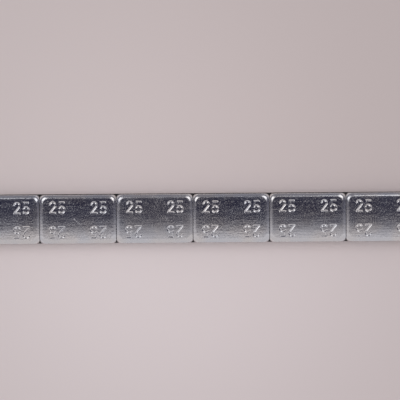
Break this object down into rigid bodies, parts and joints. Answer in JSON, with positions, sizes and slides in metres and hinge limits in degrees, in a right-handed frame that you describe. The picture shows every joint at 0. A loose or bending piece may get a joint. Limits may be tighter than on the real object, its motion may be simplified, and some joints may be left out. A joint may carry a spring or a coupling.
{
  "type": "adhesive wheel balance weight strip",
  "caption": "Strip of zinc plated steel balance weight segments with crowned faces and rounded edges, held in a row by black foam tape with a release liner, for sticking inside a wheel rim.",
  "frame": {"origin": "centre of the release liner's back, on the mounting plane", "axes": "+X along the strip, +Y across it, +Z out of the crowned faces"},
  "size_m": [0.18, 0.0194, 0.0069],
  "materials": {
    "zinc_plated_steel": "satin zinc plate with faint rolling marks",
    "black_foam": "matt closed-cell foam",
    "liner_paper": "smooth siliconised paper"
  },
  "bodies": {
    "root": {"weight_segment_1": "zinc_plated_steel", "weight_segment_2": "zinc_plated_steel", "weight_segment_3": "zinc_plated_steel", "weight_segment_4": "zinc_plated_steel", "weight_segment_5": "zinc_plated_steel", "weight_segment_6": "zinc_plated_steel", "foam_tape": "black_foam", "release_liner": "liner_paper"}
  },
  "joints": []
}
